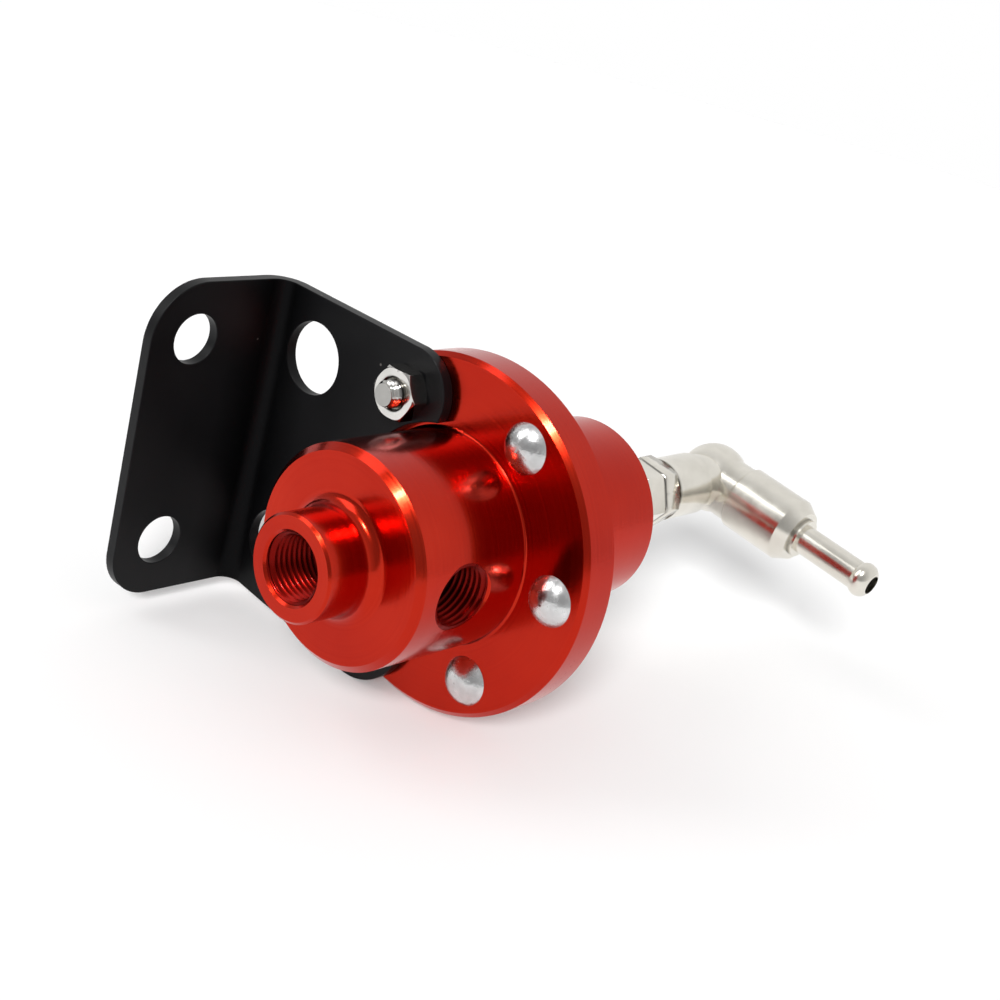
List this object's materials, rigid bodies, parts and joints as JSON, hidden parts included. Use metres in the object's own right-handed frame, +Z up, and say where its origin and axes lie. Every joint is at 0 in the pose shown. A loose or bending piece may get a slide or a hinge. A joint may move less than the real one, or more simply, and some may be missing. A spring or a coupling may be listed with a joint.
{
  "type": "fuel pressure regulator",
  "caption": "Adjustable fuel pressure regulator: turned housing with a sprung diaphragm valve, hollow adjusting screw, swivel hose elbow and folded bracket.",
  "frame": {"origin": "centre of the bracket's two mounting holes, on the outer face of the mounting plate", "axes": "+X from the mounting face towards the regulator, +Y along the regulator's axis from the return port to the adjusting screw, +Z up"},
  "size_m": [0.0737, 0.1024, 0.0532],
  "materials": {
    "red_anodised": "anodised, fine turned",
    "black_coating": "satin",
    "rivet_aluminium": "bright",
    "zinc_steel": "bright zinc",
    "nickel_brass": "nickel plated",
    "plain_brass": "turned",
    "spring_steel": "drawn",
    "black_rubber": "matt"
  },
  "bodies": {
    "housing": {"lower_body": "red_anodised", "bonnet": "red_anodised", "bracket": "black_coating", "rivets": "rivet_aluminium", "bracket_bolts": "zinc_steel", "bracket_nuts": "zinc_steel", "valve_seat": "plain_brass", "diaphragm": "black_rubber", "main_spring": "spring_steel"},
    "valve": {"lower_diaphragm_plate": "plain_brass", "upper_diaphragm_plate": "zinc_steel", "valve_ball": "spring_steel", "ball_retainer": "plain_brass"},
    "seat_carrier": {"spring_seat": "zinc_steel"},
    "adjuster": {"adjusting_screw": "nickel_brass", "swivel_seal": "black_rubber", "swivel_ring": "spring_steel"},
    "washer_carrier": {"seal_washer": "black_rubber"},
    "jam_nut": {"lock_nut": "nickel_brass"},
    "elbow": {"swivel_elbow": "nickel_brass", "hose_nipple": "nickel_brass"}
  },
  "joints": [
    {"name": "valve_lift", "type": "slide", "parent": "housing", "child": "valve", "axis": [0, 1, 0], "range_m": [0, 0.0006], "stiffness_N_per_m": 6000, "deforming": ["diaphragm", "main_spring"]},
    {"name": "adjust_feed", "type": "slide", "parent": "housing", "child": "seat_carrier", "axis": [0, -1, 0], "range_m": [0, 0.005], "deforming": ["main_spring"]},
    {"name": "adjust_turn", "type": "hinge", "parent": "seat_carrier", "child": "adjuster", "pos_m": [0.04, 0.05, 0], "axis": [0, -1, 0], "range_deg": [0, 1800]},
    {"name": "elbow_swivel", "type": "hinge", "parent": "adjuster", "child": "elbow", "pos_m": [0.04, 0.0849, 0], "axis": [0, -1, 0], "continuous": true},
    {"name": "nut_run", "type": "slide", "parent": "adjuster", "child": "washer_carrier", "axis": [0, -1, 0], "range_m": [0, 0.0033]},
    {"name": "nut_turn", "type": "hinge", "parent": "washer_carrier", "child": "jam_nut", "pos_m": [0.04, 0.0616, 0], "axis": [0, -1, 0], "range_deg": [0, 1188]}
  ],
  "couplings": [
    {"joint": "adjust_turn", "follows": "adjust_feed", "rad_per_m": 6283.2},
    {"joint": "nut_turn", "follows": "nut_run", "rad_per_m": 6283.2}
  ]
}
